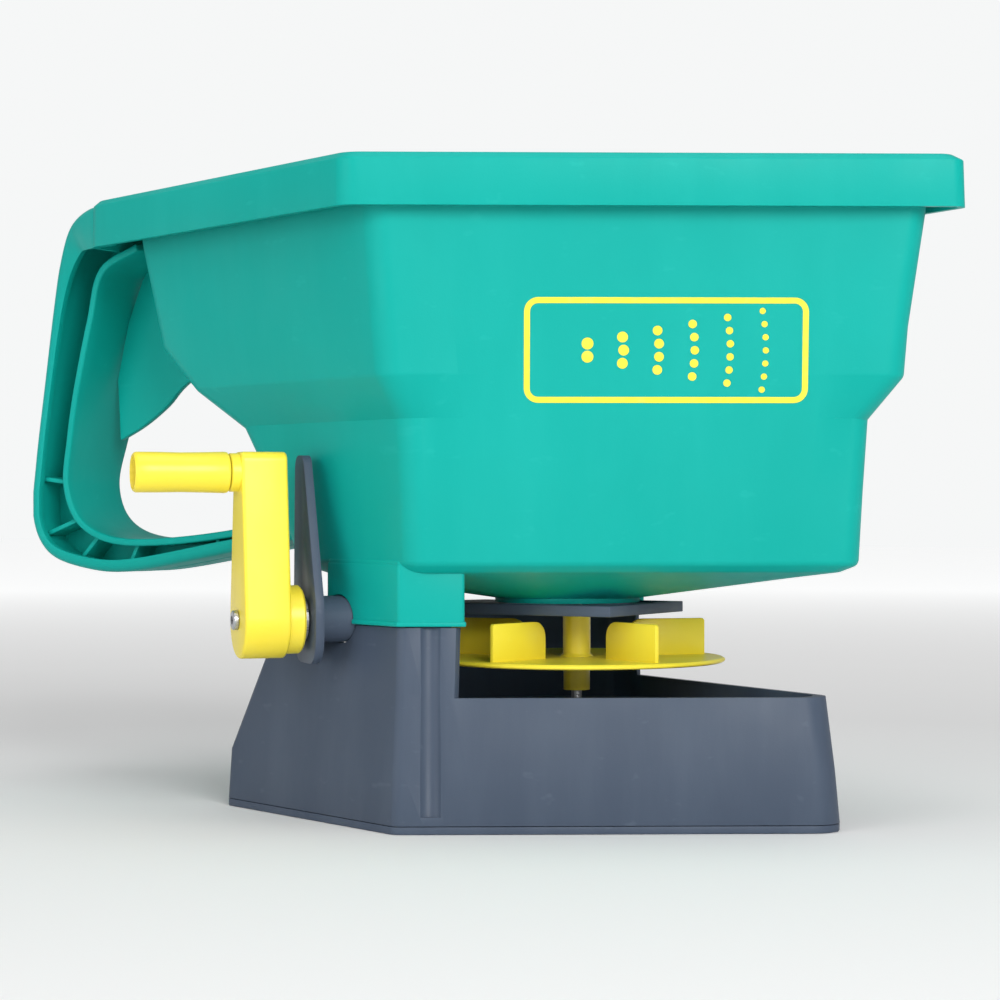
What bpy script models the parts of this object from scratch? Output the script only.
"""Hand-held crank garden spreader: a hopper with a loop handle on a base that holds the spinning impeller.

Metres. +X is the pointed front, -X the handle, -Y the crank's side and +Z up. The origin is on the
underside of the base, on the impeller's axis.
"""

import math

import bmesh
import bpy
from mathutils import Vector

# ---- plan of the hopper and the base, seen from above ----
SIDE_TAPER = math.radians(22.5)      # the side walls close in towards the rear by this much
FRONT_ANGLE = math.radians(31.5)     # the front walls of the hopper and of the base, from the X axis
RIM_TIP_X = 0.157
RIM_CORNER = (-0.029, 0.115)
RIM_REAR_X = -0.200
WALL = 0.0024
PLAN_RADII = (0.005, 0.010, 0.012)   # rounding at the tip, the front corners and the rear corners
ARC_STEPS = 4
SIDE_POINTS = 3                      # extra points along each straight side

# ---- heights of the hopper ----
RIM_TOP_Z = 0.239
SKIRT_Z = 0.220
STEP_TOP_Z = 0.162
STEP_LOW_Z = 0.149
BODY_LOW_Z = 0.092
OUTLET_Z = 0.0815
OUTLET_RADIUS = 0.025
OUTLET_X = -0.004
COLLAR_LOW_Z = 0.0734

# ---- handle ----
HANDLE_WALL = 0.003
HANDLE_WEB = 0.003

# ---- base ----
BASE_TIP_X = 0.115
BASE_SIDE = 0.0905                   # from the impeller's axis to the side wall's foot
BASE_REAR_X = -0.132
BASE_DRAFT = 0.004                   # how far the walls lean in by the top of the posts
TRAY_Z = 0.048
POST_TOP_Z = 0.073
POST_FRONT_X = -0.010
BASE_LEVELS = (                       # height, inset and how far the rear wall has come forward
    (0.0029, 0, 0), (0.022, 0.0010, 0.001), (0.050, 0.0030, 0.0165), (POST_TOP_Z, BASE_DRAFT, 0.030),
)
REAR_GAP_X = -0.070                   # the base's open back, over the rear wall
REAR_GAP_HALF = 0.036
REAR_GAP_Z = 0.050
BOSS_RADIUS = 0.0042
BOSS_TOP_Z = 0.016
SCREW_RADIUS = 0.0011                 # the cover's screws
SCREW_HEAD = 0.0018
CUT_PAST = 0.002                      # how far a cutter runs on past the face that it opens
CUT_FAR = 0.2                         # well outside the whole part
COVER_THICK = 0.0026
DECK_Z = 0.040
DECK_THICK = 0.0022
DECK_RADIUS = 0.0625
BASE_WALL = 0.0026
GAP = 0.0003
SCREW_MERGE = 0.00001

BASE_RADII = (0.010, 0.005, 0.006)
COLLAR_BEHIND = 0.046
COLLAR_AHEAD = 0.0236
COLLAR_WALL = 0.0036
COLLAR_SHELF = 0.0170                # the ledge that joins a collar to the body
COLLAR_SHELF_Z = 0.0945
COLLAR_SET_BACK = 0.0058             # behind the base's tip
COLLAR_PROUD = 0.0010                # of the base's side at the top of the posts
FLUTE_ALONG = 0.0130                 # the groove down a post's front face, from the base's corner
FLUTE_RADIUS = 0.0049
FLUTE_OUT = 0.0033                   # from the wall out to the middle of the groove's round
COVER_SCREWS = ((0.0975, 0), (-0.030, 0.0780), (-0.030, -0.0780), (-0.1200, 0.0410), (-0.1200, -0.0410))

# ---- drive train ----
CRANK_AZIMUTH = math.radians(42)     # the crank's axis, from -Y towards -X
CRANK_Z = 0.075
ACROSS = (math.radians(90), 0, -CRANK_AZIMUTH)  # turns Z out along the crank's axis, with Y up
LAY_Z = 0.0195
GEAR_MODULE = 0.0014
CRANK_TEETH = 20
IDLER_TEETH = 26
LAY_TEETH = 10
GEAR_NEAR = 0.0765                   # from the impeller's axis to the spur gears' inner face
GEAR_WIDTH = 0.0060
ARCH_NEAR = 0.070                    # where the walls' openings for the crank and its gear begin
ARCH_CLEAR = 0.0010                  # round the gear's teeth
ARCH_END_CLEAR = 0.0008              # beyond the gear's outer face
CRANK_ARCH_FAR = 0.125
GEAR_PLATE_NEAR = 0.0660
GEAR_PLATE_THICK = 0.0030
CROWN_MODULE = 0.0014
CROWN_TEETH = 20
PINION_TEETH = 8
CROWN_REACH = 0.0020                 # half the length of a crown tooth
TOOTH_HIGH = 0.9                     # in modules, above the pitch circle
TOOTH_DEEP = 1.2                     # in modules, below it
CRANK_SHAFT = 0.0030                 # shafts, by radius
LAY_SHAFT = 0.0025
IMPELLER_SHAFT = 0.0020

# ---- impeller ----
DISC_RADIUS = 0.056
DISC_Z = 0.0578
DISC_THICK = 0.0018
FIN_TOP_Z = 0.0735
HUB_RADIUS = 0.0052
HUB_TOP_Z = 0.0753
FIN_COUNT = 5
FIN_START = math.radians(-27)
FIN_INNER = 0.020
FIN_OUTER = 0.051
FIN_THICK = 0.0016

# ---- crank ----
HUB_NEAR = 0.1076                    # from the impeller's axis to the crank hub's inner face
ARM_NEAR = 0.1135
ARM_FAR = 0.1305
CRANK_HUB_RADIUS = 0.0140
HUB_OUT_RADIUS = 0.0125
KNOB_BOSS = 0.0070                    # the round on the arm under the knob
ARM_LENGTH = 0.0535
ARM_TOP = 0.0075                     # how far the arm goes on above the knob's axis
ARM_TOP_HALF = 0.0078
KNOB_RADIUS = 0.0075
KNOB_NEAR = 0.1342
KNOB_FAR = 0.1688
PLATE_NEAR = 0.1022                  # the upright plate behind the crank
PLATE_THICK = 0.0032
PLATE_TOP = 0.0600
PLATE_HALF = 0.0165
PLATE_BOSS_RADIUS = 0.0085
PLATE_BOSS_NEAR = 0.0860
BUSH_WALL = 0.0020
WASHER_NEAR = 0.1058
WASHER_THICK = 0.0014
WASHER_RADIUS = 0.0080
CRANK_BORE = 0.0090                  # the round opening in the walls for the crank plate's boss
SHAFT_FAR = 0.1260
SCREW_SEAT = 0.1308                  # the underside of the crank screw's head
PIN_RADIUS = 0.0030
PIN_NEAR = 0.1224
PIN_SEAT = 0.1608                    # the underside of the knob pin's head

# ---- shutter ----
SHUTTER_Z = (0.0776, 0.0792)
SHUTTER_HALF = 0.0270
SHUTTER_FRONT = 0.0262
SHUTTER_REAR = -0.056
STEM_FRONT = -0.064                   # the shutter's stem runs back to its finger grip
STEM_HALF = 0.009
GRIP_FRONT = -0.102
GRIP_REAR = -0.118
GRIP_HALF = 0.016

MATERIALS = {
    "green_plastic": ((0.03, 0.42, 0.36, 1), 0.42, 0.0),
    "slate_plastic": ((0.10, 0.12, 0.15, 1), 0.48, 0.0),
    "yellow_plastic": ((0.92, 0.70, 0.04, 1), 0.38, 0.0),
    "white_plastic": ((0.80, 0.80, 0.76, 1), 0.45, 0.0),
    "steel": ((0.55, 0.56, 0.58, 1), 0.32, 1.0),
}


def clear_scene():
    for obj in list(bpy.data.objects):
        bpy.data.objects.remove(obj, do_unlink=True)


def make_collection(name, hidden):
    collection = bpy.data.collections.new(name)
    collection.hide_render = hidden
    bpy.context.scene.collection.children.link(collection)
    return collection


def make_material(name):
    color, roughness, metallic = MATERIALS[name]
    material = bpy.data.materials.get(name) or bpy.data.materials.new(name)
    material.use_nodes = True
    shader = material.node_tree.nodes["Principled BSDF"]
    shader.inputs["Base Color"].default_value = color
    shader.inputs["Roughness"].default_value = roughness
    shader.inputs["Metallic"].default_value = metallic
    return material


def add_object(name, mesh, material=None, parent=None):
    """A part when it has a material, and a hidden cutter when it has none."""
    obj = bpy.data.objects.new(name, mesh)
    if material:
        PARTS.objects.link(obj)
        mesh.materials.append(make_material(material))
    else:
        CUTTERS.objects.link(obj)
        obj.hide_render = True
        obj.display_type = "WIRE"
    if parent:
        obj.parent = parent
    return obj


def add_pivot(name, location, rotation=(0, 0, 0)):
    pivot = bpy.data.objects.new(name, None)
    pivot.location = location
    pivot.rotation_euler = rotation
    PARTS.objects.link(pivot)
    return pivot


def mesh_of(bm, name):
    bmesh.ops.recalc_face_normals(bm, faces=bm.faces)
    mesh = bpy.data.meshes.new(name)
    bm.to_mesh(mesh)
    bm.free()
    return mesh


# ---- outlines ----

def arc(center, radius, start, end, steps):
    """Points along an arc, angles in radians."""
    turn = (end - start) / steps
    return [
        (center[0] + radius * math.cos(start + turn * i), center[1] + radius * math.sin(start + turn * i))
        for i in range(steps + 1)
    ]


def rounded(points, radii, steps=ARC_STEPS):
    """The polygon with each corner replaced by an arc of its own radius."""
    out = []
    for i, corner in enumerate(points):
        here = Vector(corner)
        back = (Vector(points[i - 1]) - here).normalized()
        ahead = (Vector(points[(i + 1) % len(points)]) - here).normalized()
        half = back.angle(ahead) / 2
        radius = radii[i]
        reach = radius / math.tan(half)
        center = here + (back + ahead).normalized() * (radius / math.sin(half))
        first = here + back * reach - center
        last = here + ahead * reach - center
        turn = first.angle_signed(last) * -1
        start = math.atan2(first.y, first.x)
        out += arc(center, radius, start, start + turn, steps)
    return out


def smooth_curve(points, steps):
    """A Catmull-Rom curve through the points, whatever their dimension."""
    knots = [Vector(p) for p in points]
    knots = [2 * knots[0] - knots[1]] + knots + [2 * knots[-1] - knots[-2]]
    out = []
    for i in range(1, len(knots) - 2):
        a, b, c, d = knots[i - 1 : i + 3]
        for k in range(steps):
            t = k / steps
            square = 2 * a - 5 * b + 4 * c - d
            cube = 3 * b - a - 3 * c + d
            out.append(0.5 * (2 * b + (c - a) * t + square * t**2 + cube * t**3))
    out.append(knots[-2])
    return out


def circle(radius, steps, center=(0, 0)):
    return arc(center, radius, 0, math.tau * (steps - 1) / steps, steps - 1)


def plan(tip_x, front_angle, side_distance, rear_x):
    """The five corners of a home-plate outline, anticlockwise from the tip."""
    front = Vector((math.sin(front_angle), math.cos(front_angle)))
    side = Vector((-math.sin(SIDE_TAPER), math.cos(SIDE_TAPER)))
    reach = tip_x * front.x
    whole = front.x * side.y - front.y * side.x
    corner_x = (reach * side.y - front.y * side_distance) / whole
    corner_y = (front.x * side_distance - reach * side.x) / whole
    rear_y = (side_distance - side.x * rear_x) / side.y
    return [(tip_x, 0), (corner_x, corner_y), (rear_x, rear_y), (rear_x, -rear_y), (corner_x, -corner_y)]


def rounded_plan(tip_x, front_angle, side_distance, rear_x, radii=PLAN_RADII):
    """The rounded outline, with points along its straight sides too."""
    tip, front, rear = radii
    corners = rounded(plan(tip_x, front_angle, side_distance, rear_x), (tip, front, rear, rear, front))
    out = []
    for i, point in enumerate(corners):
        out.append(point)
        if i % (ARC_STEPS + 1) == ARC_STEPS:
            here = Vector(point)
            ahead = Vector(corners[(i + 1) % len(corners)])
            out += [tuple(here.lerp(ahead, k / (SIDE_POINTS + 1))) for k in range(1, SIDE_POINTS + 1)]
    return out


RIM_SIDE = RIM_CORNER[0] * -math.sin(SIDE_TAPER) + RIM_CORNER[1] * math.cos(SIDE_TAPER)


def hopper_plan(front_inset, side_inset, rear_x):
    tip_x = RIM_TIP_X - front_inset / math.sin(FRONT_ANGLE)
    return rounded_plan(tip_x, FRONT_ANGLE, RIM_SIDE - side_inset, rear_x)


# ---- solids ----

def plate(name, outlines, low, high, material=None, parent=None):
    """Outlines, the first one round the others as its holes, filled and extruded from low to high."""
    curve = bpy.data.curves.new(name, "CURVE")
    curve.dimensions = "2D"
    curve.fill_mode = "BOTH"
    curve.extrude = (high - low) / 2
    for outline in outlines:
        spline = curve.splines.new("POLY")
        spline.points.add(len(outline) - 1)
        for point, place in zip(spline.points, outline):
            point.co = (place[0], place[1], 0, 1)
        spline.use_cyclic_u = True
    guide = bpy.data.objects.new(name + "_curve", curve)
    bpy.context.scene.collection.objects.link(guide)
    bpy.context.view_layer.update()
    graph = bpy.context.evaluated_depsgraph_get()
    raw = bpy.data.meshes.new_from_object(guide.evaluated_get(graph))
    bpy.data.objects.remove(guide, do_unlink=True)
    bm = bmesh.new()
    bm.from_mesh(raw)
    bmesh.ops.remove_doubles(bm, verts=bm.verts, dist=1e-6)
    bmesh.ops.translate(bm, verts=bm.verts, vec=(0, 0, (low + high) / 2))
    mesh = mesh_of(bm, name)
    mesh.materials.clear()
    return add_object(name, mesh, material, parent)


def turned(name, profile, material=None, parent=None, steps=32):
    """A profile of (radius, height) points turned about Z. It is a loop unless it starts on the axis."""
    bm = bmesh.new()
    points = [bm.verts.new((radius, 0, height)) for radius, height in profile]
    ends = points[1:] if profile[0][0] == 0 else points[1:] + points[:1]
    for here, there in zip(points, ends):
        bm.edges.new((here, there))
    mesh = bpy.data.meshes.new(name)
    bm.to_mesh(mesh)
    bm.free()
    obj = add_object(name, mesh, material, parent)
    screw = obj.modifiers.new("turn", "SCREW")
    screw.steps = steps
    screw.render_steps = steps
    screw.use_merge_vertices = True
    screw.merge_threshold = SCREW_MERGE
    return obj


def rod(name, radius, low, high, material=None, parent=None, steps=24, bevel=0.0004):
    profile = [(0, high), (radius - bevel, high), (radius, high - bevel)]
    profile += [(radius, low + bevel), (radius - bevel, low), (0, low)]
    return turned(name, profile, material, parent, steps)


def ring(name, outer, inner, low, high, material=None, parent=None, steps=32):
    return turned(name, [(inner, high), (outer, high), (outer, low), (inner, low)], material, parent, steps)


def box(name, low, high, material=None, parent=None):
    bm = bmesh.new()
    bmesh.ops.create_cube(bm, size=1)
    size = Vector(high) - Vector(low)
    bmesh.ops.scale(bm, verts=bm.verts, vec=size)
    bmesh.ops.translate(bm, verts=bm.verts, vec=Vector(low) + size / 2)
    return add_object(name, mesh_of(bm, name), material, parent)


def boolean(obj, other, operation="DIFFERENCE"):
    """Other becomes a hidden helper of obj."""
    modifier = obj.modifiers.new(operation.lower(), "BOOLEAN")
    modifier.operation = operation
    modifier.object = other
    modifier.solver = "EXACT"


def bevel(obj, width, segments=2):
    modifier = obj.modifiers.new("bevel", "BEVEL")
    modifier.width = width
    modifier.segments = segments
    modifier.limit_method = "ANGLE"
    modifier.angle_limit = math.radians(50)


def loft(name, sections, material=None, closed=True, thickness=None):
    """A surface through sections of equal count. With a thickness it is a shell on one side of it."""
    bm = bmesh.new()
    rows = [[bm.verts.new(point) for point in section] for section in sections]
    count = len(rows[0])
    for lower, upper in zip(rows, rows[1:]):
        for i in range(count if closed else count - 1):
            j = (i + 1) % count
            bm.faces.new((lower[i], lower[j], upper[j], upper[i]))
    if thickness is None:
        bm.faces.new(rows[0][::-1])
        bm.faces.new(rows[-1])
        obj = add_object(name, mesh_of(bm, name), material)
    else:
        mesh = bpy.data.meshes.new(name)
        bm.to_mesh(mesh)
        bm.free()
        obj = add_object(name, mesh, material)
        shell = obj.modifiers.new("wall", "SOLIDIFY")
        shell.thickness = abs(thickness)
        shell.offset = math.copysign(1, thickness)
        shell.use_even_offset = True
    return obj


def raised(outline, z):
    return [(x, y, z) for x, y in outline]


# ---- hopper ----

FLOOR = (0.0335, 0.040, -0.078)       # front inset, side inset and rear X of the floor round the outlet
SHOULDER = (0.0245, 0.0348, -0.084)   # the same of the turn from the floor to the walls
# height, front inset, side inset, rear X of the body's outer face
BODY_LEVELS = (
    (BODY_LOW_Z + 0.005, 0.0193, 0.0303, -0.092),
    (0.122, 0.0185, 0.0290, -0.106),
    (STEP_LOW_Z, 0.0174, 0.0272, -0.126),
    (STEP_TOP_Z, 0.0105, 0.0175, -0.146),
    (0.180, 0.0096, 0.0155, -0.168),
    (SKIRT_Z, 0.0062, 0.0115, -0.178),
    (RIM_TOP_Z - 0.0015, 0.0054, 0.0100, -0.180),
)


def hopper_shell():
    """The cavity's face from the outlet up, over the rim and down the skirt, with the wall outside it."""
    sections = []
    body = hopper_plan(*FLOOR)
    center = Vector((OUTLET_X, 0))
    outlet = []
    for point in body:
        outlet.append(center + (Vector(point) - center).normalized() * OUTLET_RADIUS)
    sections.append(raised(outlet, OUTLET_Z - 0.0012))
    sections.append(raised(outlet, OUTLET_Z + WALL))
    sections.append(raised(body, BODY_LOW_Z + WALL - 0.0015))
    sections.append(raised(hopper_plan(*SHOULDER), BODY_LOW_Z + WALL + 0.0006))
    for z, front, side, rear_x in BODY_LEVELS:
        sections.append(raised(hopper_plan(front + WALL, side + WALL, rear_x + WALL), z))
    sections.append(raised(hopper_plan(0.0065 + WALL, 0.0085 + WALL, -0.181 + WALL), RIM_TOP_Z))
    sections.append(raised(hopper_plan(0.0018, 0.0018, RIM_REAR_X + 0.0018), RIM_TOP_Z))
    sections.append(raised(hopper_plan(0.0, 0.0, RIM_REAR_X), RIM_TOP_Z - 0.0018))
    sections.append(raised(hopper_plan(-0.0004, -0.0004, RIM_REAR_X - 0.0004), SKIRT_Z))
    return loft("hopper", sections, "green_plastic", thickness=WALL)


# the handle's outer strap: X, Z, half width and depth of the side lips
STRAP = (
    (-0.186, 0.2375, 0.0480, 0.0170),
    (-0.204, 0.2368, 0.0410, 0.0165),
    (-0.219, 0.2310, 0.0340, 0.0130),
    (-0.229, 0.2170, 0.0285, 0.0085),
    (-0.236, 0.1980, 0.0245, 0.0060),
    (-0.244, 0.1680, 0.0205, 0.0050),
    (-0.251, 0.1350, 0.0180, 0.0050),
    (-0.253, 0.1120, 0.0175, 0.0050),
    (-0.245, 0.0970, 0.0175, 0.0050),
    (-0.226, 0.0905, 0.0175, 0.0050),
    (-0.200, 0.0895, 0.0180, 0.0050),
    (-0.152, 0.0970, 0.0200, 0.0050),
    (-0.098, 0.1060, 0.0230, 0.0050),
)
# the flange round the hand opening: X, Z and half width
GRIP = (
    (-0.186, 0.2200, 0.0300),
    (-0.206, 0.2120, 0.0270),
    (-0.2135, 0.1930, 0.0250),
    (-0.2190, 0.1770, 0.0235),
    (-0.2250, 0.1600, 0.0210),
    (-0.2295, 0.1430, 0.0190),
    (-0.2325, 0.1260, 0.0175),
    (-0.2270, 0.1120, 0.0170),
    (-0.2130, 0.1045, 0.0170),
    (-0.1900, 0.1030, 0.0175),
    (-0.1500, 0.1065, 0.0190),
    (-0.0990, 0.1150, 0.0210),
)
STRAP_STEPS = 2
STRAP_EASE = 0.0020                   # the cut corner between the strap and its lips
CAVITY_CLEAR = 0.00008                # keeps the cavity cutter off the walls


def strap_sections():
    """U sections across the strap, its lips pointing to the inside of the bend."""
    path = smooth_curve(STRAP, STRAP_STEPS)
    sections = []
    for i, (x, z, half, lip) in enumerate(path):
        ahead = path[min(i + 1, len(path) - 1)]
        behind = path[max(i - 1, 0)]
        along = Vector((ahead[0] - behind[0], ahead[1] - behind[1])).normalized()
        inward = Vector((-along.y, along.x))
        low = (x + inward.x * lip, z + inward.y * lip)
        sections.append(
            [
                (low[0], -half, low[1]),
                (x + inward.x * STRAP_EASE, -half, z + inward.y * STRAP_EASE),
                (x, -half + STRAP_EASE, z),
                (x, half - STRAP_EASE, z),
                (x + inward.x * STRAP_EASE, half, z + inward.y * STRAP_EASE),
                (low[0], half, low[1]),
            ]
        )
    return sections


def grip_sections():
    return [[(x, -half, z), (x, half, z)] for x, z, half in smooth_curve(GRIP, STRAP_STEPS)]


def upright_plate(name, outlines, thickness):
    """A plate whose outlines are in X and Z, standing on the plane Y = 0."""
    obj = plate(name, outlines, -thickness / 2, thickness / 2)
    obj.rotation_euler = (math.radians(90), 0, 0)
    return obj


def handle_web():
    """The plate that joins the strap to the grip flange."""
    outer = [(p[0] + 0.0010, p[1]) for p in smooth_curve(STRAP, STRAP_STEPS)]
    inner = [(p[0] - 0.0008, p[1]) for p in smooth_curve(GRIP, STRAP_STEPS)]
    return upright_plate("handle_web", [outer + inner[::-1]], HANDLE_WEB)


def handle_gusset():
    """The web in the upper corner of the hand opening, with a hollow lower edge."""
    edge = [(-0.2175, 0.1440), (-0.2050, 0.1500), (-0.1930, 0.1580), (-0.1830, 0.1670), (-0.1600, 0.1800)]
    back = [(-0.1600, 0.2150), (-0.1900, 0.2340), (-0.2060, 0.2110), (-0.2135, 0.1930), (-0.2190, 0.1700)]
    return upright_plate("handle_gusset", [edge + back], HANDLE_WEB)


def hopper_cavity():
    """What the hopper holds: it clears the handle's ends out of the inside."""
    clear = WALL + CAVITY_CLEAR
    sections = [
        raised(hopper_plan(*(v + CAVITY_CLEAR + WALL for v in FLOOR)), BODY_LOW_Z + WALL - 0.0012),
        raised(hopper_plan(*(v + CAVITY_CLEAR + WALL for v in SHOULDER)), BODY_LOW_Z + WALL + 0.0008),
    ]
    for z, front, side, rear_x in BODY_LEVELS:
        sections.append(raised(hopper_plan(front + clear, side + clear, rear_x + clear), z))
    sections.append(raised(hopper_plan(0.0090 + clear, 0.0110 + clear, -0.180 + clear), RIM_TOP_Z + 0.02))
    return loft("hopper_cavity", sections)


def base_plan(inset, rear_x):
    tip_x = BASE_TIP_X - inset / math.sin(FRONT_ANGLE)
    return rounded_plan(tip_x, FRONT_ANGLE, BASE_SIDE - inset, rear_x, BASE_RADII)


def collar(side, inset, depth, low, high):
    """The foot of the hopper that stands on a base post: an angle round the corner, this deep."""
    tip_x = BASE_TIP_X - COLLAR_SET_BACK - inset
    side_distance = BASE_SIDE - BASE_DRAFT + COLLAR_PROUD - inset
    outer = plan(tip_x, FRONT_ANGLE, side_distance, BASE_REAR_X)
    corner = Vector(outer[1])
    ahead = (Vector(outer[0]) - corner).normalized()
    behind = (Vector(outer[2]) - corner).normalized()
    front_in = Vector((-ahead.y, ahead.x)) * -depth
    side_in = Vector((behind.y, -behind.x)) * -depth
    outline = [
        corner,
        corner + behind * (COLLAR_BEHIND - inset * 2),
        corner + behind * (COLLAR_BEHIND - inset * 2) + side_in,
        corner + side_in + front_in,
        corner + ahead * (COLLAR_AHEAD - inset * 2) + front_in,
        corner + ahead * (COLLAR_AHEAD - inset * 2),
    ]
    outline = [(p.x, p.y * side) for p in outline]
    return plate("collar", [outline], low, high)


def build_hopper():
    hopper = hopper_shell()
    strap = loft("handle_strap", strap_sections(), closed=False, thickness=-HANDLE_WALL)
    grip = loft("handle_grip", grip_sections(), closed=False, thickness=HANDLE_WALL)
    for piece in (strap, grip, handle_web(), handle_gusset()):
        boolean(hopper, piece, "UNION")
    for side in (1, -1):
        boolean(hopper, collar(side, 0, COLLAR_WALL, COLLAR_LOW_Z, COLLAR_SHELF_Z + 0.001), "UNION")
        boolean(hopper, collar(side, 0.0009, COLLAR_SHELF, COLLAR_SHELF_Z, COLLAR_SHELF_Z + 0.0035), "UNION")
    boolean(hopper, hopper_cavity())
    boolean(hopper, rod("crank_arch", CRANK_BORE, ARCH_NEAR, CRANK_ARCH_FAR, parent=CRANK_PIVOT, steps=32))
    gear_arch = GEAR_MODULE * (CRANK_TEETH / 2 + TOOTH_HIGH) + ARCH_CLEAR
    gear_far = GEAR_NEAR + GEAR_WIDTH + ARCH_END_CLEAR
    boolean(hopper, rod("gear_arch", gear_arch, ARCH_NEAR, gear_far, parent=CRANK_PIVOT, steps=32))


# ---- base ----

def post_flute(side):
    """A round groove that leans in with the wall."""
    corner = Vector(base_plan_corners()[1])
    along = Vector((math.cos(FRONT_ANGLE), -math.sin(FRONT_ANGLE)))
    outward = Vector((math.sin(FRONT_ANGLE), math.cos(FRONT_ANGLE)))
    sections = []
    for z, inset in ((0.006, 0.0002), (POST_TOP_Z + 0.005, BASE_DRAFT + 0.0003)):
        x, y = corner + along * FLUTE_ALONG + outward * (FLUTE_OUT - inset)
        outline = circle(FLUTE_RADIUS, 20, (x, side * y))
        sections.append(raised(outline, z))
    return loft("post_flute", sections)


def base_plan_corners():
    return plan(BASE_TIP_X, FRONT_ANGLE, BASE_SIDE, BASE_REAR_X)


def base_shell():
    """Walls of the tray and the posts, open below, from one block less its inside."""
    sections = []
    hollow = []
    for z, inset, rear in BASE_LEVELS:
        sections.append(raised(base_plan(inset, BASE_REAR_X + rear), z))
        hollow.append(raised(base_plan(inset + BASE_WALL, BASE_REAR_X + rear + BASE_WALL), z))
    hollow[0] = [(x, y, z - CUT_PAST) for x, y, z in hollow[0]]
    hollow[-1] = [(x, y, z + CUT_PAST) for x, y, z in hollow[-1]]
    block = loft("base_stand", sections, "slate_plastic")
    boolean(block, loft("base_inside", hollow))
    front = box("tray_front", (POST_FRONT_X, -CUT_FAR, TRAY_Z), (CUT_FAR, CUT_FAR, CUT_FAR))
    boolean(block, front)
    rear = box("rear_gap", (-CUT_FAR, -REAR_GAP_HALF, REAR_GAP_Z), (REAR_GAP_X, REAR_GAP_HALF, CUT_FAR))
    boolean(block, rear)
    for side in (1, -1):
        boolean(block, post_flute(side))
    boolean(block, rod("crank_bore", CRANK_BORE, 0.070, 0.125, parent=CRANK_PIVOT))
    for x, y in COVER_SCREWS:
        boss = rod("cover_boss", BOSS_RADIUS, COVER_THICK + 0.0012, BOSS_TOP_Z, steps=20)
        boss.location = (x, y, 0)
        boolean(block, boss, "UNION")
        hole = rod("boss_hole", SCREW_RADIUS + GAP, -0.01, BOSS_TOP_Z - 0.0035, steps=16)
        hole.location = (x, y, 0)
        boolean(block, hole)
    return block


def build_base():
    base_shell()
    outline = base_plan(0, BASE_REAR_X)
    foot = loft("base_cover", [raised(outline, 0), raised(outline, COVER_THICK)], "slate_plastic")
    for i, (x, y) in enumerate(COVER_SCREWS):
        hole = rod(f"cover_hole_{i}", SCREW_HEAD + GAP, -0.001, 0.01, steps=16)
        hole.location = (x, y, 0)
        boolean(foot, hole)
        screw = turned(
            f"cover_screw_{i + 1}",
            [(0, 0.0100), (SCREW_RADIUS, 0.0100), (SCREW_RADIUS, 0.0022),
             (SCREW_HEAD, 0.0008), (SCREW_HEAD, GAP), (0, GAP)],
            "steel",
            steps=16,
        )
        screw.location = (x, y, 0)
    deck_hole = circle(IMPELLER_SHAFT + 0.0026, 24)
    deck = plate("deck", [circle(DECK_RADIUS, 48), deck_hole], DECK_Z - DECK_THICK, DECK_Z, "slate_plastic")
    inside = base_plan(BASE_WALL + 0.0028, BASE_REAR_X)
    limit = loft("deck_limit", [raised(inside, DECK_Z - 0.01), raised(inside, DECK_Z + 0.01)])
    boolean(deck, limit, "INTERSECT")
    ring("deck_bush", IMPELLER_SHAFT + 0.0023, IMPELLER_SHAFT + GAP, DECK_Z - 0.0027, DECK_Z + 0.0015,
         "white_plastic", steps=24)
    ring("shaft_cup", IMPELLER_SHAFT + 0.0021, IMPELLER_SHAFT + GAP, COVER_THICK + GAP, 0.0060,
         "white_plastic", steps=24)


# ---- gears ----

def gear_outline(teeth, module, phase):
    """Straight-sided teeth. At phase 0 the middle of a tooth is at angle 0."""
    pitch = math.tau / teeth
    radius = module * teeth / 2
    tip = radius + TOOTH_HIGH * module
    root = radius - TOOTH_DEEP * module
    outline = []
    for i in range(teeth):
        for share, reach in ((-0.29, root), (-0.10, tip), (0.10, tip), (0.29, root)):
            angle = phase + (i + share) * pitch
            outline.append((reach * math.cos(angle), reach * math.sin(angle)))
    return outline


def spur(name, teeth, module, phase, low, high, bore, material, parent):
    hole = circle(bore + GAP, 24)
    return plate(name, [gear_outline(teeth, module, phase), hole], low, high, material, parent)


def crown(name, teeth, module, phase, tip_z, back_z, bore, material, parent):
    """A disc with radial teeth on its lower face, which run from an inner to an outer radius."""
    radius = module * teeth / 2
    root_z = tip_z + (TOOTH_HIGH + TOOTH_DEEP) * module
    radii = (bore + GAP, radius - CROWN_REACH - 0.0002, radius - CROWN_REACH, radius + CROWN_REACH)
    pitch = math.tau / teeth
    shares = (-0.24, -0.10, 0.10, 0.24)
    bm = bmesh.new()
    rows = []
    for level in (back_z, None):
        for i, reach in enumerate(radii):
            row = []
            for k in range(teeth):
                for share in shares:
                    angle = phase + (k + share) * pitch
                    toothed = level is None and i >= 2 and abs(share) < 0.2
                    z = tip_z if toothed else (root_z if level is None else level)
                    row.append(bm.verts.new((reach * math.cos(angle), reach * math.sin(angle), z)))
            rows.append(row)
    order = [rows[0], rows[1], rows[2], rows[3], rows[7], rows[6], rows[5], rows[4]]
    for first, second in zip(order, order[1:] + order[:1]):
        for i in range(len(first)):
            j = (i + 1) % len(first)
            bm.faces.new((first[i], first[j], second[j], second[i]))
    return add_object(name, mesh_of(bm, name), material, parent)


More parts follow.
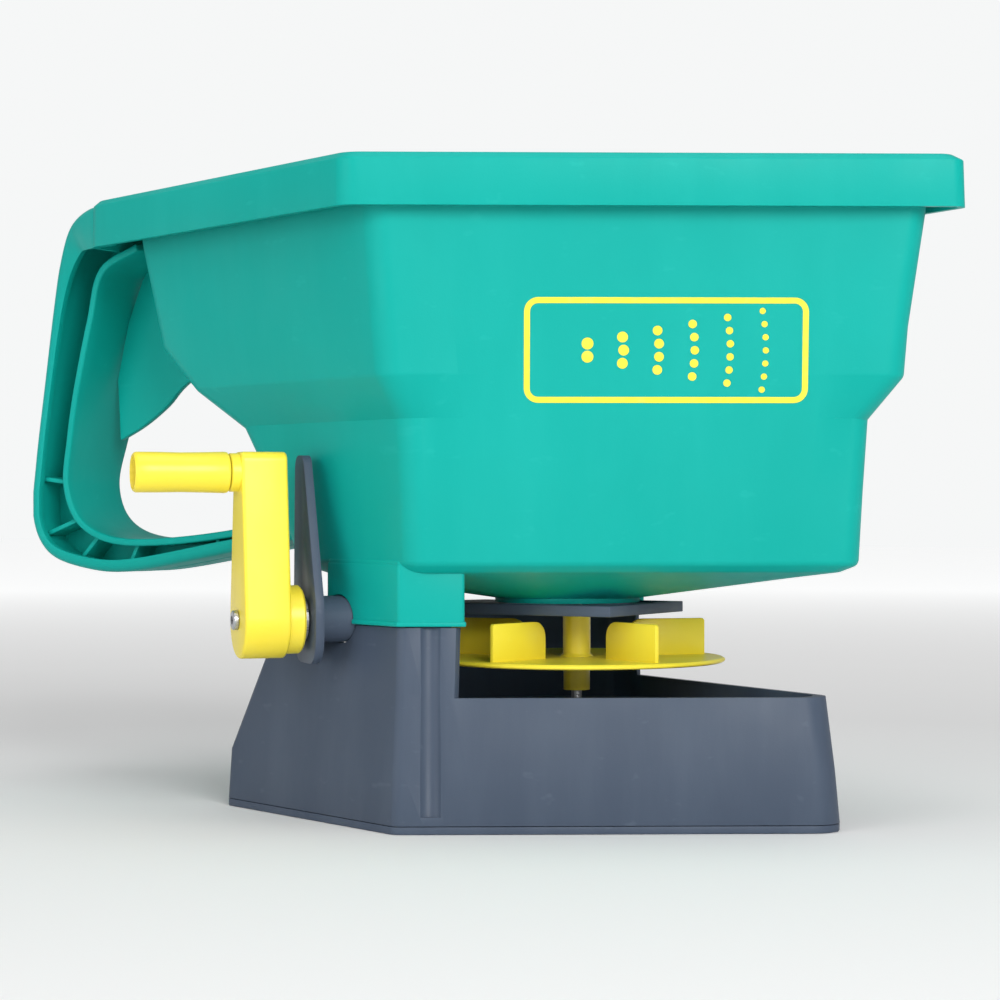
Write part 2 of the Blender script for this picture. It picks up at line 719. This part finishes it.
def idler_place():
    """The idler's axis from the crank's, in the plane across the crank's axis, and both mesh lines."""
    crank_reach = GEAR_MODULE * (CRANK_TEETH + IDLER_TEETH) / 2
    lay_reach = GEAR_MODULE * (IDLER_TEETH + LAY_TEETH) / 2
    drop = CRANK_Z - LAY_Z
    down = (drop**2 + crank_reach**2 - lay_reach**2) / (2 * drop)
    aside = -math.sqrt(crank_reach**2 - down**2)
    to_idler = math.atan2(-down, aside)
    to_lay = math.atan2(-(drop - down), -aside)
    return aside, down, to_idler, to_lay


def build_drive():
    aside, down, to_idler, to_lay = idler_place()
    gear_far = GEAR_NEAR + GEAR_WIDTH
    idler_pivot = add_pivot("idler_axis", (aside * math.cos(CRANK_AZIMUTH), -aside * math.sin(CRANK_AZIMUTH),
                                           CRANK_Z - down), ACROSS)
    spur("crank_gear", CRANK_TEETH, GEAR_MODULE, to_idler, GEAR_NEAR, gear_far, CRANK_SHAFT,
         "white_plastic", CRANK_PIVOT)
    idler_phase = to_idler + math.pi + math.pi / IDLER_TEETH
    spur("idler_gear", IDLER_TEETH, GEAR_MODULE, idler_phase, GEAR_NEAR, gear_far, LAY_SHAFT,
         "white_plastic", idler_pivot)
    # the idler's teeth nearest the lay gear set that gear's phase
    turned_by = (to_lay - idler_phase) * IDLER_TEETH / LAY_TEETH
    lay_phase = to_lay + math.pi + turned_by + math.pi / LAY_TEETH
    spur("lay_gear", LAY_TEETH, GEAR_MODULE, lay_phase, GEAR_NEAR, gear_far, LAY_SHAFT,
         "white_plastic", LAY_PIVOT)
    rod("crank_shaft", CRANK_SHAFT, GEAR_PLATE_NEAR - 0.002, SHAFT_FAR, "steel", CRANK_PIVOT)
    rod("idler_pin", LAY_SHAFT, GEAR_PLATE_NEAR - 0.001, gear_far + 0.0015, "steel", idler_pivot)
    pinion_pitch = CROWN_MODULE * PINION_TEETH / 2
    crown_tip = pinion_pitch - TOOTH_HIGH * CROWN_MODULE
    crown_back = crown_tip + 0.0062
    rod("layshaft", LAY_SHAFT, crown_tip + 0.0035, gear_far + 0.0015, "steel", LAY_PIVOT)
    crown("crown_gear", CROWN_TEETH, CROWN_MODULE, math.pi / 2, crown_tip, crown_back, LAY_SHAFT,
          "white_plastic", LAY_PIVOT)
    gear_plate(aside, down)
    bearing = box("layshaft_bearing", (-0.007, COVER_THICK + GAP - LAY_Z, 0.020), (0.007, 0.0065, 0.026),
                  "slate_plastic", LAY_PIVOT)
    boolean(bearing, rod("layshaft_bore", LAY_SHAFT + GAP, 0.010, 0.040, parent=LAY_PIVOT))


def gear_plate(aside, down):
    """The plate that carries the inner end of the crank shaft, the idler's pin and the layshaft."""
    foot = COVER_THICK + GAP - CRANK_Z
    outline = rounded(
        [(-0.026, foot), (0.016, foot), (0.013, -0.030), (0.009, 0.009), (-0.009, 0.009), (-0.026, -0.026)],
        (0.001, 0.001, 0.006, 0.008, 0.008, 0.010),
    )
    holes = [
        circle(CRANK_SHAFT + GAP, 24),
        circle(LAY_SHAFT + GAP, 24, (aside, -down)),
        circle(LAY_SHAFT + GAP, 24, (0, LAY_Z - CRANK_Z)),
    ]
    plate("gear_plate", [outline] + holes, GEAR_PLATE_NEAR, GEAR_PLATE_NEAR + GEAR_PLATE_THICK,
          "slate_plastic", CRANK_PIVOT)


# ---- crank ----

def build_crank():
    tongue = rounded(
        [(-PLATE_HALF, -0.016), (PLATE_HALF, -0.016), (PLATE_HALF, 0.006), (-0.0035, PLATE_TOP),
         (-0.0160, PLATE_TOP), (-PLATE_HALF - 0.0015, 0.006)],
        (0.010, 0.010, 0.020, 0.005, 0.005, 0.020),
    )
    plate_far = PLATE_NEAR + PLATE_THICK
    upright = plate("crank_plate", [tongue], PLATE_NEAR, plate_far, "slate_plastic", CRANK_PIVOT)
    boss = rod("plate_boss", PLATE_BOSS_RADIUS, PLATE_BOSS_NEAR, PLATE_NEAR + 0.001, parent=CRANK_PIVOT)
    boolean(upright, boss, "UNION")
    bore = rod("plate_bore", CRANK_SHAFT + BUSH_WALL + GAP, PLATE_BOSS_NEAR - CUT_PAST, plate_far + CUT_PAST,
               parent=CRANK_PIVOT)
    boolean(upright, bore)
    ring("crank_bush", CRANK_SHAFT + BUSH_WALL, CRANK_SHAFT + GAP, PLATE_BOSS_NEAR + 0.0005,
         PLATE_NEAR + 0.0030, "white_plastic", CRANK_PIVOT, 24)
    ring("crank_washer", WASHER_RADIUS, CRANK_SHAFT + GAP, WASHER_NEAR, WASHER_NEAR + WASHER_THICK,
         "steel", CRANK_PIVOT, 32)
    top = ARM_LENGTH + ARM_TOP
    outline = arc((0, 0), CRANK_HUB_RADIUS, math.radians(175), math.radians(365), 18)
    outline += rounded([(ARM_TOP_HALF, top), (-ARM_TOP_HALF, top), (0, 0)], (0.0035, 0.0035, 0.001))[:10]
    arm = plate("crank_arm", [outline], ARM_NEAR, ARM_FAR, "yellow_plastic", CRANK_PIVOT)
    bevel(arm, 0.0010)
    hub = rod("crank_hub", HUB_OUT_RADIUS, HUB_NEAR, ARM_NEAR + 0.001, parent=CRANK_PIVOT, steps=32)
    boolean(arm, hub, "UNION")
    boss = rod("knob_boss", KNOB_BOSS, ARM_FAR - 0.001, KNOB_NEAR - GAP, parent=CRANK_PIVOT, steps=24)
    boss.location = (0, ARM_LENGTH, 0)
    boolean(arm, boss, "UNION")
    boolean(arm, rod("shaft_bore", CRANK_SHAFT + GAP, 0.100, SHAFT_FAR + GAP, parent=CRANK_PIVOT))
    boolean(arm, rod("screw_bore", 0.0018, SHAFT_FAR - 0.002, 0.140, parent=CRANK_PIVOT, steps=16))
    pin_bore = rod("pin_bore", PIN_RADIUS + GAP, PIN_NEAR - 0.0004, 0.140, parent=CRANK_PIVOT)
    pin_bore.location = (0, ARM_LENGTH, 0)
    boolean(arm, pin_bore)
    turned(
        "crank_screw",
        [(0, SCREW_SEAT + 0.0004), (0.0013, SCREW_SEAT + 0.0004), (0.0016, SCREW_SEAT + 0.0018),
         (0.0030, SCREW_SEAT + 0.0018), (0.0036, SCREW_SEAT + 0.0012), (0.0036, SCREW_SEAT),
         (0.0015, SCREW_SEAT), (0.0015, SHAFT_FAR + 0.0004), (0, SHAFT_FAR + 0.0004)],
        "steel", CRANK_PIVOT, 24,
    )
    pin = turned(
        "knob_pin",
        [(0, PIN_SEAT + 0.0017), (0.0042, PIN_SEAT + 0.0017), (0.0047, PIN_SEAT + 0.0012), (0.0047, PIN_SEAT),
         (PIN_RADIUS, PIN_SEAT), (PIN_RADIUS, PIN_NEAR), (0, PIN_NEAR)],
        "yellow_plastic", CRANK_PIVOT, 24,
    )
    pin.location = (0, ARM_LENGTH, 0)
    knob_pivot = add_pivot("knob_axis", (0, ARM_LENGTH, 0))
    knob_pivot.parent = CRANK_PIVOT
    turned(
        "crank_knob",
        [(0.0060, KNOB_FAR), (0.0066, KNOB_FAR), (KNOB_RADIUS, KNOB_FAR - 0.0008),
         (0.0071, (KNOB_NEAR + KNOB_FAR) / 2),
         (KNOB_RADIUS, KNOB_NEAR + 0.0010), (0.0068, KNOB_NEAR), (PIN_RADIUS + GAP, KNOB_NEAR),
         (PIN_RADIUS + GAP, PIN_SEAT - 0.0004), (0.0058, PIN_SEAT - 0.0004)],
        "yellow_plastic", knob_pivot, 32,
    )


# ---- impeller ----

def fin_outline():
    corner = arc((FIN_INNER + 0.006, FIN_TOP_Z - 0.006), 0.006, math.pi, math.pi / 2, 5)
    return [(FIN_OUTER, FIN_TOP_Z), (FIN_OUTER, DISC_Z + 0.0005), (FIN_INNER, DISC_Z + 0.0005)] + corner


def build_impeller():
    impeller = plate("impeller", [circle(DISC_RADIUS, 64)], DISC_Z, DISC_Z + DISC_THICK, "yellow_plastic")
    boolean(impeller, rod("impeller_hub", HUB_RADIUS, DISC_Z + 0.0002, HUB_TOP_Z, bevel=0.0006), "UNION")
    for i in range(FIN_COUNT):
        fin = plate(f"fin_{i}", [fin_outline()], -FIN_THICK / 2, FIN_THICK / 2)
        fin.rotation_euler = (math.radians(90), 0, FIN_START + i * math.tau / FIN_COUNT)
        boolean(impeller, fin, "UNION")
    boolean(impeller, rod("impeller_bore", IMPELLER_SHAFT + GAP, 0.050, 0.090))
    rod("impeller_shaft", IMPELLER_SHAFT, 0.0034, 0.0925, "steel")
    ring("impeller_collar", 0.0050, IMPELLER_SHAFT + GAP, 0.0470, DISC_Z - GAP, "yellow_plastic", steps=24)
    middle = LAY_Z + CROWN_MODULE * CROWN_TEETH / 2
    toward = -math.pi / 2 - CRANK_AZIMUTH
    reach = CROWN_REACH - GAP
    spur("impeller_pinion", PINION_TEETH, CROWN_MODULE, toward + math.pi / PINION_TEETH,
         middle - reach, middle + reach, IMPELLER_SHAFT, "white_plastic", None)
    agitator = ring("agitator", 0.0042, IMPELLER_SHAFT + GAP, 0.0850, 0.0905, "yellow_plastic", steps=24)
    for side in (1, -1):
        finger = rod("agitator_finger", 0.0012, 0.0030, 0.0160, steps=12)
        finger.location = (0, 0, 0.0878)
        finger.rotation_euler = (0, side * math.radians(70), 0)
        boolean(agitator, finger, "UNION")


# ---- shutter ----

def build_shutter():
    low, high = SHUTTER_Z
    slot = IMPELLER_SHAFT + GAP
    half = SHUTTER_HALF
    outline = [(SHUTTER_FRONT, slot), (SHUTTER_FRONT, half), (SHUTTER_REAR, half), (STEM_FRONT, STEM_HALF),
               (GRIP_FRONT, STEM_HALF), (GRIP_FRONT, GRIP_HALF), (GRIP_REAR, GRIP_HALF)]
    outline += [(x, -y) for x, y in reversed(outline)]
    outline += arc((0, 0), slot, math.radians(-90), math.radians(-270), 10)
    plate("shutter", [outline], low, high, "slate_plastic")
    guide = box("shutter_guide", (-0.046, -half - 0.0032, low - 0.0016), (0.0300, half + 0.0032, 0.0800),
                "slate_plastic")
    slot_front = SHUTTER_FRONT + GAP
    boolean(guide, box("guide_slot", (-0.05, -half - GAP, low - GAP), (slot_front, half + GAP, 0.09)))
    mouth_front = SHUTTER_FRONT - 0.003
    boolean(guide, box("guide_mouth", (-0.05, -half + 0.003, 0.070), (mouth_front, half - 0.003, 0.09)))


def main():
    build_hopper()
    build_base()
    build_drive()
    build_crank()
    build_impeller()
    build_shutter()


clear_scene()
PARTS = make_collection("garden_spreader", False)
CUTTERS = make_collection("cutters", True)
CRANK_PIVOT = add_pivot("crank_axis", (0, 0, CRANK_Z), ACROSS)
LAY_PIVOT = add_pivot("lay_axis", (0, 0, LAY_Z), ACROSS)
main()
